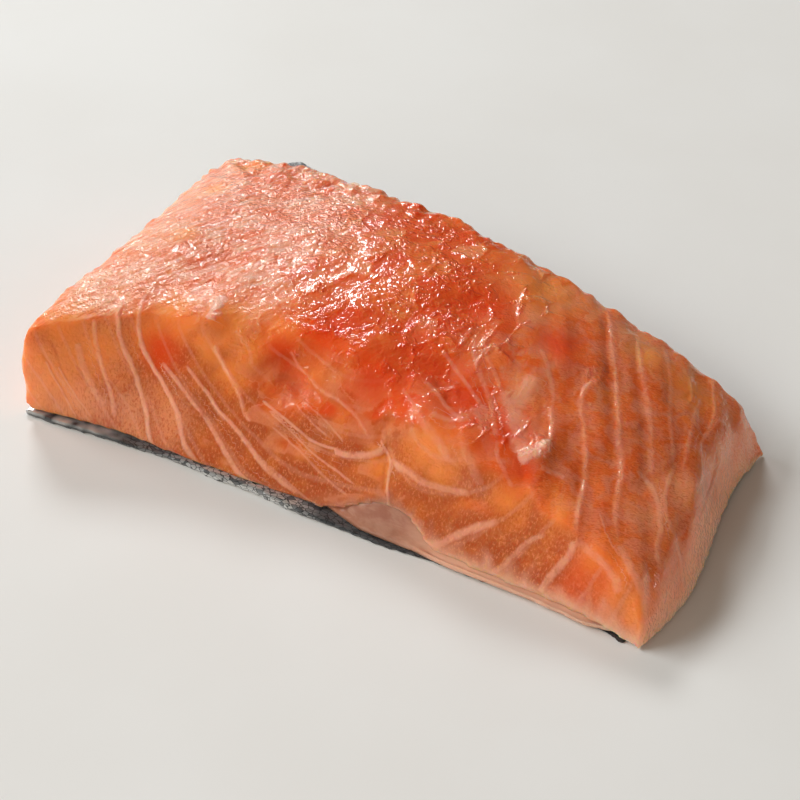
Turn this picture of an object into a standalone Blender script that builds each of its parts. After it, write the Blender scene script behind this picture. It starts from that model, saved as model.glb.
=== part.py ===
"""A raw salmon portion on its skin, in metres with +Z up.

The piece is a slice across a fillet: back end at -X, belly end at +X, and the two knife cuts at -Y and +Y.
Three solids lie on each other: the skin, a pale layer of fat, and the flesh. The origin is on the
surface that the piece lies on, under the middle of its box. Sizes are in millimetres until a point is
made, and MM turns them into metres there.
"""

import math

import bmesh
import bpy
import numpy as np
from mathutils import Vector, noise

MM = 0.001
BOX_MIDDLE_Y = 8.0

# Outline of the flesh at stations along the piece
LENGTH = 145.0
STATION_X = (-72.5, -60.0, -42.0, -18.0, 8.0, 33.0, 54.0, 72.5)
NEAR_FOOT_Y = (-32.8, -32.0, -30.6, -30.0, -31.0, -29.8, -30.0, -32.2)
NEAR_SETBACK = (2.0, 9.6, 17.7, 20.9, 19.2, 11.7, 6.6, 4.2)
NEAR_HEIGHT = (22.5, 24.5, 26.5, 27.5, 26.0, 21.0, 16.0, 11.5)
CROWN_HEIGHT = (24.0, 27.3, 29.5, 31.0, 29.6, 25.0, 18.6, 11.3)
FAR_HEIGHT = (22.8, 26.2, 28.6, 29.4, 27.8, 23.0, 16.6, 9.2)
FAR_TOP_Y = (48.0, 47.8, 46.2, 43.8, 40.5, 37.8, 36.2, 33.2)
FAR_FOOT_Y = (38.5, 39.0, 39.0, 38.0, 36.5, 35.0, 33.5, 32.0)
NEAR_SAG = 1.6
FAR_SWELL = 0.8

# Both ends swell, and the belly end leans in more at its far side and is bowed in plan. The powers keep
# these shapes to the last part of the length.
END_SWELL = 1.6
END_SWELL_POWER = 7
BELLY_END_LEAN = (4.0, 9.5)
BELLY_END_BOW = 1.2
BELLY_END_WAVE = 1.8
BELLY_END_POWER = 6

# The two layers under the flesh
GAP = 0.3
SKIN_THICK = 1.4
FAT_THIN = 1.6
LATERAL_X = 14.5
LATERAL_FAT = 4.2
LATERAL_HALF_WIDTH = 9.0
BELLY_FAT = 1.4
BELLY_FAT_X = (4.5, 34.5)

# The skin stands out at the near foot and turns up the far cut, highest in a tongue at the back
SKIN_RIM = 0.9
SKIN_RIM_WAVE = 0.35
SKIN_RIM_WAVELENGTHS = (29.5, 69.0)
SKIN_RIM_POWER = 4
SKIN_CLEAR = 1.0
SKIN_BEND_RADIUS = 1.2
LIP_LOW = 2.4
LIP_TONGUE = 21.6
TONGUE_X = -52.0
TONGUE_HALF_WIDTH = 16.0

# Seams between the flakes: circles on the cuts, chevrons on the upper face
BACK_CENTRE = (-4.0, 60.0)
BACK_PITCH = 4.1
BELLY_CENTRE = (22.0, 30.0)
BELLY_PITCH = 6.3
CHEVRON_X = 9.0
TOP_PITCH = 7.0
TOP_SHEAR = 0.5
TOP_ROUND = 8.0
TOP_PHASE = 0.15
TOP_BACK_SHARE = 0.35
TOP_DEEPENS_X = (0.0, 30.0)
CUT_GROOVE = 0.3
TOP_GROOVE = 0.8
SEPTUM_FOOT = (13.5, 11.0)
SEPTUM_LEAN = -0.6
SEPTUM_GROOVE = 0.9
SEPTUM_HALF_WIDTH = 1.3
SEAM_SHARPNESS = 3

# Hollows and lobes where the flakes gape: x, y, z, reach along x, reach across it, rise
GAPE = (
    (-14.5, -16.0, 21.0, 5.5, 4.0, -2.6),
    (-10.5, -20.5, 17.5, 4.5, 3.0, 1.1),
    (21.0, -18.0, 20.5, 11.0, 5.0, 1.3),
    (-39.0, -14.0, 24.0, 9.0, 4.5, 1.1),
    (15.5, -6.0, 26.5, 9.0, 5.0, -1.0),
    (40.5, -10.5, 20.7, 1.6, 4.0, 1.7),
    (44.0, -6.0, 20.0, 2.0, 5.0, -0.9),
    (-36.5, -9.0, 26.6, 2.2, 3.4, 0.9),
    (30.5, -23.5, 14.5, 8.0, 1.8, -0.8),
)

# Unevenness: wide lumps all over, and crags on the upper face that grow towards the far ridge
LUMP_SIZE = 13.0
LUMP_RISE = 0.8
CRAG_SIZE = 4.5
CRAG_RISE = 0.6
EDGE_CRAG_RISE = 1.0
EDGE_CRAG_REACH = 7.0

# Where relief acts: a normal's share of up that counts as the upper face, the height over which relief
# grows from nothing at the flesh's foot, and the depth behind which flesh stays clear of the lip
UPPER_FACE = (0.55, 0.9)
PLAIN_FOOT = 3.0
LIP_REACH = (3.0, 4.0)
RIDGE_ROUNDS = 3

# Cells of each solid: along, across and up
FLESH_CELLS = (68, 32, 9)
FAT_CELLS = (68, 1, 2)
SKIN_CELLS = (50, 14, 1)
SKIN_FLAT_CELLS = 6
SKIN_BEND_CELLS = 3

FLESH_COLOUR = (0.78, 0.20, 0.06)
FLESH_ROUGHNESS = 0.3
FAT_COLOUR = (0.72, 0.42, 0.30)
FAT_ROUGHNESS = 0.35
SKIN_COLOUR = (0.16, 0.17, 0.18)
SKIN_ROUGHNESS = 0.35
SHARP_ANGLE = math.radians(50)


def along(x, values):
    """A smooth curve through the station values, read at x."""
    stations = np.asarray(STATION_X)
    heights = np.asarray(values)
    slopes = np.gradient(heights, stations)
    i = int(np.clip(np.searchsorted(stations, x) - 1, 0, len(stations) - 2))
    span = stations[i + 1] - stations[i]
    t = (x - stations[i]) / span
    rise = (2 * t**3 - 3 * t**2 + 1) * heights[i] + (3 * t**2 - 2 * t**3) * heights[i + 1]
    lean = (t**3 - 2 * t**2 + t) * slopes[i] + (t**3 - t**2) * slopes[i + 1]
    return rise + lean * span


def bell(distance, half_width):
    """1 at the middle, and almost nothing from twice the half width on."""
    return math.exp(-((distance / half_width) ** 2))


def smooth_step(value, low, high):
    """0 up to low, 1 from high on, and a smooth rise between them."""
    t = min(max((value - low) / (high - low), 0.0), 1.0)
    return t * t * (3 - 2 * t)


def fat_thickness(x):
    """The fat swells along the lateral line and stays thicker towards the belly."""
    belly = BELLY_FAT * smooth_step(x, *BELLY_FAT_X)
    return FAT_THIN + LATERAL_FAT * bell(x - LATERAL_X, LATERAL_HALF_WIDTH) + belly


def near_y(x, z):
    """The near knife cut, which leans away from its foot as it rises."""
    share = z / along(x, NEAR_HEIGHT)
    sag = NEAR_SAG * math.sin(math.pi * min(share, 1.0))
    return along(x, NEAR_FOOT_Y) + along(x, NEAR_SETBACK) * share - sag


def far_y(x, z):
    """The far knife cut, which overhangs its foot a little."""
    share = z / along(x, FAR_HEIGHT)
    foot = along(x, FAR_FOOT_Y)
    swell = FAR_SWELL * math.sin(math.pi * min(share, 1.0))
    return foot + (along(x, FAR_TOP_Y) - foot) * share + swell


def top_z(x, across):
    """The upper face of a section: near ridge, crown and far ridge."""
    near, crown, far = (along(x, values) for values in (NEAR_HEIGHT, CROWN_HEIGHT, FAR_HEIGHT))
    swell = crown - (near + far) / 2
    return near + (far - near) * across + swell * 4 * across * (1 - across)


def end_x(s, t, u):
    """Both ends swell half way up. The belly end is bowed in plan, and leans in as it rises."""
    side = 2 * s - 1
    near_lean, far_lean = BELLY_END_LEAN
    lean = (near_lean + (far_lean - near_lean) * t) * u
    bow = BELLY_END_BOW * math.sin(math.pi * t) + BELLY_END_WAVE * math.sin(2 * math.pi * t)
    swell = END_SWELL * side**END_SWELL_POWER * math.sin(math.pi * u)
    return LENGTH / 2 * side + swell + (bow - lean) * max(side, 0.0) ** BELLY_END_POWER


def flesh_floor(x):
    return SKIN_THICK + GAP + fat_thickness(x) + GAP


def flesh_place(s, t, u):
    x = end_x(s, t, u)
    floor = flesh_floor(x)
    z = floor + (top_z(x, t) - floor) * u
    near, far = near_y(x, z), far_y(x, z)
    return x, near + (far - near) * t, z


def fat_place(s, t, u):
    x = end_x(s, t, 0)
    z = SKIN_THICK + GAP + fat_thickness(x) * u
    near, far = near_y(x, z), far_y(x, z)
    return x, near + (far - near) * t, z


def lip_height(x):
    """How far the skin is turned up the far cut."""
    return LIP_LOW + LIP_TONGUE * bell(x - TONGUE_X, TONGUE_HALF_WIDTH)


def skin_place(s, t, u):
    """The skin's section is a strip: flat, bent up at the far foot, then up along the far cut."""
    step = t * SKIN_CELLS[1]
    flat_share = min(step / SKIN_FLAT_CELLS, 1.0)
    x = end_x(s, flat_share, 0) - SKIN_RIM * (1 - s) ** SKIN_RIM_POWER
    short, long = (2 * math.pi * x / length for length in SKIN_RIM_WAVELENGTHS)
    rim = along(x, NEAR_FOOT_Y) - SKIN_RIM + SKIN_RIM_WAVE * math.sin(short) * math.cos(long)
    bend_y = far_y(x, SKIN_THICK) + SKIN_CLEAR - SKIN_BEND_RADIUS
    depth = SKIN_THICK * (1 - u)
    if flat_share < 1:
        return x, rim + (bend_y - rim) * flat_share, SKIN_THICK - depth
    bend_share = min((step - SKIN_FLAT_CELLS) / SKIN_BEND_CELLS, 1.0)
    angle = bend_share * math.pi / 2
    radius = SKIN_BEND_RADIUS + depth
    y = bend_y + radius * math.sin(angle)
    z = SKIN_THICK + SKIN_BEND_RADIUS - radius * math.cos(angle)
    lip_cells = SKIN_CELLS[1] - SKIN_FLAT_CELLS - SKIN_BEND_CELLS
    rise = lip_height(x) * max(step - SKIN_FLAT_CELLS - SKIN_BEND_CELLS, 0) / lip_cells
    return x, y + far_y(x, z + rise) - far_y(x, z), z + rise


def groove(phase):
    """1 on each seam, where the phase is a whole number, and near 0 over the flake between."""
    return (0.5 + 0.5 * math.cos(2 * math.pi * phase)) ** SEAM_SHARPNESS


def cut_relief(x, z):
    """Seams on the knife cuts: circles of the back muscle, of the belly muscle, and the septum between."""
    back = math.hypot(x - BACK_CENTRE[0], z - BACK_CENTRE[1]) / BACK_PITCH
    belly = math.hypot(x - BELLY_CENTRE[0], z - BELLY_CENTRE[1]) / BELLY_PITCH
    septum_x = SEPTUM_FOOT[0] + SEPTUM_LEAN * (z - SEPTUM_FOOT[1])
    belly_share = smooth_step(x - septum_x, -SEPTUM_HALF_WIDTH, SEPTUM_HALF_WIDTH)
    seams = (1 - belly_share) * groove(back) + belly_share * groove(belly)
    return -CUT_GROOVE * seams - SEPTUM_GROOVE * bell(x - septum_x, SEPTUM_HALF_WIDTH)


def top_relief(x, y):
    """Chevron seams on the upper face, which point away from the near cut."""
    reach = math.hypot(x - CHEVRON_X, TOP_ROUND) + TOP_SHEAR * y
    depth = TOP_BACK_SHARE + (1 - TOP_BACK_SHARE) * smooth_step(x, *TOP_DEEPENS_X)
    return -TOP_GROOVE * depth * groove(reach / TOP_PITCH - TOP_PHASE)


def relief(place, normal):
    """How far a point of the flesh stands out from the plain form."""
    x, y, z = place
    far = far_y(x, z)
    upward = smooth_step(normal.z, *UPPER_FACE)
    rise = upward * top_relief(x, y) + (1 - upward) * cut_relief(x, z)
    rise += LUMP_RISE * noise.noise(place / LUMP_SIZE)
    far_share = smooth_step(y, far - EDGE_CRAG_REACH, far)
    crag = CRAG_RISE + EDGE_CRAG_RISE * far_share
    rise += upward * crag * noise.noise(place / CRAG_SIZE)
    for gape_x, gape_y, gape_z, reach_x, reach_yz, lift in GAPE:
        across = math.hypot(y - gape_y, z - gape_z)
        rise += lift * bell(x - gape_x, reach_x) * bell(across, reach_yz)
    depth, height = LIP_REACH
    at_lip = smooth_step(y, far - depth, far) * (1 - upward)
    if z < lip_height(x) + height:
        rise = min(rise, rise * (1 - at_lip))
    return rise * smooth_step(z, flesh_floor(x), flesh_floor(x) + PLAIN_FOOT)


def lattice(mesh, cells, place, plain_foot):
    """The outside of a block of cells as faces, each lattice point put where place says."""
    nx, ny, nz = cells
    points = {}

    def point(i, j, k):
        if (i, j, k) not in points:
            points[i, j, k] = mesh.verts.new(Vector(place(i / nx, j / ny, k / nz)))
        return points[i, j, k]

    corners = ((0, 0), (1, 0), (1, 1), (0, 1))
    levels = [nz] if plain_foot else [0, nz]
    for i in range(nx):
        for j in range(ny):
            for k in levels:
                mesh.faces.new([point(i + a, j + b, k) for a, b in corners])
    for k in range(nz):
        for i in range(nx):
            for j in (0, ny):
                mesh.faces.new([point(i + a, j, k + b) for a, b in corners])
        for j in range(ny):
            for i in (0, nx):
                mesh.faces.new([point(i, j + a, k + b) for a, b in corners])
    if plain_foot:
        for i in range(nx):
            left = range(1, ny) if i == 0 else ()
            right = range(ny - 1, 0, -1) if i == nx - 1 else ()
            ring = [point(i, 0, 0), *(point(i, j, 0) for j in left), point(i, ny, 0)]
            ring += [point(i + 1, ny, 0), *(point(i + 1, j, 0) for j in right), point(i + 1, 0, 0)]
            mesh.faces.new(ring)


def round_ridges(mesh):
    """Softens every edge of the flesh but those at its foot."""
    upper = [v for v in mesh.verts if v.co.z > flesh_floor(v.co.x) + PLAIN_FOOT]
    for _ in range(RIDGE_ROUNDS):
        bmesh.ops.smooth_vert(
            mesh, verts=upper, factor=0.5, use_axis_x=True, use_axis_y=True, use_axis_z=True
        )


def carve(mesh):
    """Moves each point of the flesh along its normal by the relief there."""
    mesh.normal_update()
    moves = [v.normal * relief(v.co, v.normal) for v in mesh.verts]
    for vert, move in zip(mesh.verts, moves):
        vert.co += move


def finish(obj_name, mesh, colour, roughness):
    """Turns the mesh into a named object with its own material, in metres, about the box's middle."""
    bmesh.ops.recalc_face_normals(mesh, faces=mesh.faces)
    for vert in mesh.verts:
        vert.co = (vert.co - Vector((0, BOX_MIDDLE_Y, 0))) * MM
    data = bpy.data.meshes.new(obj_name)
    mesh.to_mesh(data)
    mesh.free()
    data.shade_smooth()
    data.set_sharp_from_angle(angle=SHARP_ANGLE)
    material = bpy.data.materials.new(obj_name)
    material.use_nodes = True
    shader = material.node_tree.nodes["Principled BSDF"]
    shader.inputs["Base Color"].default_value = (*colour, 1)
    shader.inputs["Roughness"].default_value = roughness
    data.materials.append(material)
    piece = bpy.data.objects.new(obj_name, data)
    bpy.context.scene.collection.objects.link(piece)
    return piece


def make_flesh():
    mesh = bmesh.new()
    lattice(mesh, FLESH_CELLS, flesh_place, plain_foot=True)
    bmesh.ops.recalc_face_normals(mesh, faces=mesh.faces)
    round_ridges(mesh)
    carve(mesh)
    return finish("flesh", mesh, FLESH_COLOUR, FLESH_ROUGHNESS)


def make_fat():
    mesh = bmesh.new()
    lattice(mesh, FAT_CELLS, fat_place, plain_foot=True)
    return finish("fat", mesh, FAT_COLOUR, FAT_ROUGHNESS)


def make_skin():
    mesh = bmesh.new()
    lattice(mesh, SKIN_CELLS, skin_place, plain_foot=False)
    return finish("skin", mesh, SKIN_COLOUR, SKIN_ROUGHNESS)


for old in list(bpy.data.objects):
    bpy.data.objects.remove(old)
make_skin()
make_fat()
make_flesh()
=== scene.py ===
# %% [markdown]
# # A raw salmon portion
#
# This lesson dresses a plain CAD model of a salmon portion until it looks wet, flaky and
# translucent. The CAD model has three solids: the skin, a layer of fat and the flesh. Each of them
# gets a fine mesh of its own here, because fish is soft: its surface is full of creases, ribbons
# and fibres that a CAD solid leaves out. The origin is on the surface that the portion lies on. +X
# runs towards the thin belly end, -Y is the knife cut that faces the camera, and +Z is up.

import math

import bpy
import numpy as np
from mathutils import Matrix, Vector, noise


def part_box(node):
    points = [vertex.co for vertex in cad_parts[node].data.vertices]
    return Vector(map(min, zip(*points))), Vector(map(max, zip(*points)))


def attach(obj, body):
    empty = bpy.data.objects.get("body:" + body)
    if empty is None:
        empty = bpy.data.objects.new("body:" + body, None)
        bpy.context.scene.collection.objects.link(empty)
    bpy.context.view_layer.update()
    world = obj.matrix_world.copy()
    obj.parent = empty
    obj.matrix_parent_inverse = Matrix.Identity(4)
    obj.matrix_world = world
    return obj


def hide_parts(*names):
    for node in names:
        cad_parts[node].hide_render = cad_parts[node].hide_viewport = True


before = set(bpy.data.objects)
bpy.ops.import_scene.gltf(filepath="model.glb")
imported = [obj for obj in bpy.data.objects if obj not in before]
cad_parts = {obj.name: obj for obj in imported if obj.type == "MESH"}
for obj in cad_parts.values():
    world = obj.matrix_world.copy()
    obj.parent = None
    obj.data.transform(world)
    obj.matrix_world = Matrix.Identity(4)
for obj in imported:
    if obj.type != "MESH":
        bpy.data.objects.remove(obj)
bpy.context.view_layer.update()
MM = 0.001
print("CAD nodes:", sorted(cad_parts))

# %% [markdown]
# ## The camera
#
# The camera stands where the photograph was taken from: 39 degrees above level, in front of the
# near cut and a little towards the belly end. A lens of 85 mm is a short telephoto, which keeps the
# far end nearly as large as the near one.

# %% The camera
CAMERA_PLACE = (0.1553, -0.2791, 0.2627)
CAMERA_ABOVE_LEVEL = 39.0
CAMERA_AROUND = 29.52
LENS = 85.0

camera_data = bpy.data.cameras.new("camera")
camera_data.lens = LENS
camera_data.clip_start = 0.01
camera = bpy.data.objects.new("camera", camera_data)
camera.location = CAMERA_PLACE
camera.rotation_euler = (math.radians(90 - CAMERA_ABOVE_LEVEL), 0, math.radians(CAMERA_AROUND))
bpy.context.scene.collection.objects.link(camera)
bpy.context.scene.camera = camera
bpy.context.scene.view_settings.view_transform = "Standard"
print("camera at", CAMERA_PLACE)

# %% [markdown]
# ## The table and the light
#
# The photograph shows a pale table in soft daylight. A wide window on the left gives most of the
# light, so the shadow falls to the right. A smaller one behind the portion makes the white glints
# along the top. The walls in front and to the right throw some light back, a little warmer. The two
# glint lights give no light of their own: they are seen only as reflections on the wet cuts. A pale
# world fills the shadows from all around.

# %% The table
TABLE_SIZE = 3.0
TABLE_COLOUR = (0.80, 0.785, 0.76)

bpy.ops.object.select_all(action="DESELECT")
bpy.ops.mesh.primitive_plane_add(size=TABLE_SIZE)
table = bpy.context.object
table.name = "table"

# %% The light
FILL_COLOUR = (1.0, 0.80, 0.60)
FILL_STRENGTH = 0.092
WINDOW_DISTANCE = 3.0
DAYLIGHT = (0.95, 0.985, 1.0)
WARM_WALL = (1.0, 0.89, 0.76)


def window(name, direction, size, power, colour=DAYLIGHT, shines=True, glints=True):
    """A soft rectangular light that looks at the portion. It shines, it glints, or it does both."""
    data = bpy.data.lights.new(name, "AREA")
    data.shape = "RECTANGLE"
    data.size, data.size_y = size
    data.energy = power
    data.color = colour
    light = bpy.data.objects.new(name, data)
    light.location = Vector(direction).normalized() * WINDOW_DISTANCE
    light.rotation_euler = Vector(direction).to_track_quat("Z", "Y").to_euler()
    light.visible_diffuse = shines
    light.visible_glossy = glints
    bpy.context.scene.collection.objects.link(light)
    print(name, "from", direction)


window("window", (-0.82, -0.22, 0.52), (2.6, 1.1), 88.0, glints=False)
window("front_wall", (-0.10, -0.88, 0.42), (3.0, 1.8), 29.0, WARM_WALL, glints=False)
window("back_window", (-0.60, 0.58, 0.54), (0.85, 0.55), 40.0)
window("right_wall", (0.93, -0.28, 0.14), (2.0, 0.6), 19.0, WARM_WALL, glints=False)
window("right_glint", (0.88, 0.18, 0.44), (0.7, 0.4), 9.0, shines=False)
window("front_glint", (-0.80, -0.20, 0.54), (0.6, 0.35), 11.0, shines=False)

world = bpy.data.worlds.new("room")
bpy.context.scene.world = world
world.use_nodes = True
sky = world.node_tree.nodes["Background"]
sky.inputs["Color"].default_value = (*FILL_COLOUR, 1)
sky.inputs["Strength"].default_value = FILL_STRENGTH

# %% [markdown]
# ## Helpers for meshes
#
# The fine surfaces are made in three steps: copy the CAD node, remesh it into small even squares,
# and move each point along its normal. Points are handled as numpy arrays in millimetres, because a
# whole surface can then be moved by one formula.


# %% Helpers for meshes
def active_only(piece):
    """Selects this piece and nothing else."""
    bpy.ops.object.select_all(action="DESELECT")
    piece.select_set(True)
    bpy.context.view_layer.objects.active = piece


def use_modifier(piece, kind, **settings):
    """Adds a modifier, gives it its settings and applies it."""
    active_only(piece)
    modifier = piece.modifiers.new(kind.lower(), kind)
    for name, value in settings.items():
        setattr(modifier, name, value)
    bpy.ops.object.modifier_apply(modifier=modifier.name)


def copy_of(node, name):
    """A copy of a CAD node's mesh as a new piece, with its loose triangles merged."""
    piece = bpy.data.objects.new(name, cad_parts[node].data.copy())
    bpy.context.scene.collection.objects.link(piece)
    piece.data.materials.clear()
    active_only(piece)
    bpy.ops.object.mode_set(mode="EDIT")
    bpy.ops.mesh.select_all(action="SELECT")
    bpy.ops.mesh.remove_doubles(threshold=1e-6)
    bpy.ops.object.mode_set(mode="OBJECT")
    return piece


def places(piece):
    """The points of a piece in millimetres."""
    co = np.empty(len(piece.data.vertices) * 3, np.float32)
    piece.data.vertices.foreach_get("co", co)
    return co.reshape(-1, 3).astype(float) / MM


def directions(piece):
    """The normal at each point."""
    normals = np.empty(len(piece.data.vertices) * 3, np.float32)
    piece.data.vertex_normals.foreach_get("vector", normals)
    return normals.reshape(-1, 3).astype(float)


def put_places(piece, points):
    piece.data.vertices.foreach_set("co", (points * MM).astype(np.float32).ravel())
    piece.data.update()


def keep(piece, name, *values):
    """Stores up to three numbers for each point, for the material to read."""
    stacked = np.zeros((len(values[0]), 3), np.float32)
    for column, value in enumerate(values):
        stacked[:, column] = value
    stored_as = piece.data.attributes.new(name, "FLOAT_VECTOR", "POINT")
    stored_as.data.foreach_set("vector", stacked.ravel())


def weigh(piece, name, weights, steps=8):
    """Makes a vertex group, so that a modifier works fully on some points and hardly on others."""
    group = piece.vertex_groups.new(name=name)
    rounded_weights = np.round(weights * steps).astype(int)
    for step in range(1, steps + 1):
        group.add(np.flatnonzero(rounded_weights == step).tolist(), step / steps, "REPLACE")


def thin_out(piece, hidden, ratio):
    """Simplifies the faces that nobody sees: hidden tells for each point if it is out of sight."""
    active_only(piece)
    bpy.ops.object.mode_set(mode="EDIT")
    bpy.ops.mesh.select_all(action="DESELECT")
    bpy.ops.object.mode_set(mode="OBJECT")
    corners = np.empty(len(piece.data.polygons) * 4, np.int32)
    piece.data.polygons.foreach_get("vertices", corners)
    chosen = hidden[corners.reshape(-1, 4)].all(axis=1)
    piece.data.polygons.foreach_set("select", chosen)
    bpy.ops.object.mode_set(mode="EDIT")
    bpy.ops.mesh.decimate(ratio=ratio)
    bpy.ops.object.mode_set(mode="OBJECT")


# %% [markdown]
# ## Helpers for shapes
#
# A few small functions describe every form: a smooth step, a bell, soft random clouds and cells.
# Each of them takes whole arrays. What looks random comes from fixed formulas, so it is the same
# each run.


# %% Helpers for shapes
RANDOM_FACTORS = (12.9898, 78.233, 37.719)
RANDOM_SPREAD = 43758.5453


def smooth_step(value, low, high):
    """0 below low, 1 above high, and a soft slope between them."""
    t = np.clip((value - low) / (high - low), 0, 1)
    return t * t * (3 - 2 * t)


def bell(distance, half_width):
    """1 at distance 0, falling off on both sides."""
    return np.exp(-((distance / half_width) ** 2))


def clouds(points, size, seed=0.0):
    """Smooth random heights between about -1 and 1. size is one length, or one for each axis."""
    scaled = points / np.asarray(size, float) + seed
    return np.array([noise.noise(p) for p in scaled.tolist()])


def random_from(*numbers):
    """A number from 0 to 1 that looks random, but is always the same for the same numbers."""
    mixed_up = np.sin(sum(number * factor for number, factor in zip(numbers, RANDOM_FACTORS)))
    mixed_up = mixed_up * RANDOM_SPREAD
    return mixed_up - np.floor(mixed_up)


def cells(points, size, seed=0.0):
    """How far inside a random cell each point lies (0 on its border), its offset, and the cell's
    own random number."""
    scaled = points / np.asarray(size, float) + seed
    found = [noise.voronoi(p) for p in scaled.tolist()]
    inside = np.array([distances[1] - distances[0] for distances, _ in found])
    middles = np.array([tuple(near[0]) for _, near in found])
    return inside, scaled - middles, random_from(*middles.T)


def turned(points, angle):
    """Plan coordinates turned so that the first one runs along the angle, in degrees from +X."""
    c, s = math.cos(math.radians(angle)), math.sin(math.radians(angle))
    x, y, z = points.T
    return np.stack([c * x + s * y, c * y - s * x, z], axis=1)


# %% [markdown]
# ## The flesh: a fine mesh
#
# Salmon flesh is many thin flakes that lie on each other like cones, held by pale ribbons. The CAD
# solid has the plain form, so its copy is remeshed into squares of about half a millimetre, and the
# underside, which lies on the fat, is thinned out again. A plain subdivision would keep the CAD
# model's long triangles, and its creases would show as facets. The upper face is smoothed most,
# because its seams are laid again more finely, but the open hollow near x = -15 keeps its form.

# %% The flesh: a fine mesh
FLESH_VOXEL = 0.56
FLESH_SMOOTHING = 10
TOP_SMOOTHING = 80
HOLLOW_X = -15.0
HOLLOW_REACH = 9.0

flesh = copy_of("flesh", "salmon_flesh")
use_modifier(flesh, "REMESH", mode="VOXEL", voxel_size=FLESH_VOXEL * MM)
use_modifier(flesh, "SMOOTH", factor=0.5, iterations=FLESH_SMOOTHING)
points, normals = places(flesh), directions(flesh)
near_hollow = bell(points[:, 0] - HOLLOW_X, HOLLOW_REACH)
near_hollow *= 1 - smooth_step(points[:, 1], -18, -10)
weigh(flesh, "soft", smooth_step(normals[:, 2], 0.78, 0.92) * (1 - near_hollow))
use_modifier(flesh, "SMOOTH", factor=0.5, iterations=TOP_SMOOTHING, vertex_group="soft")
points, normals = places(flesh), directions(flesh)
thin_out(flesh, (normals[:, 2] < -0.85) & (points[:, 2] < 9), 0.05)
print("flesh:", len(flesh.data.polygons), "faces")
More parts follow.
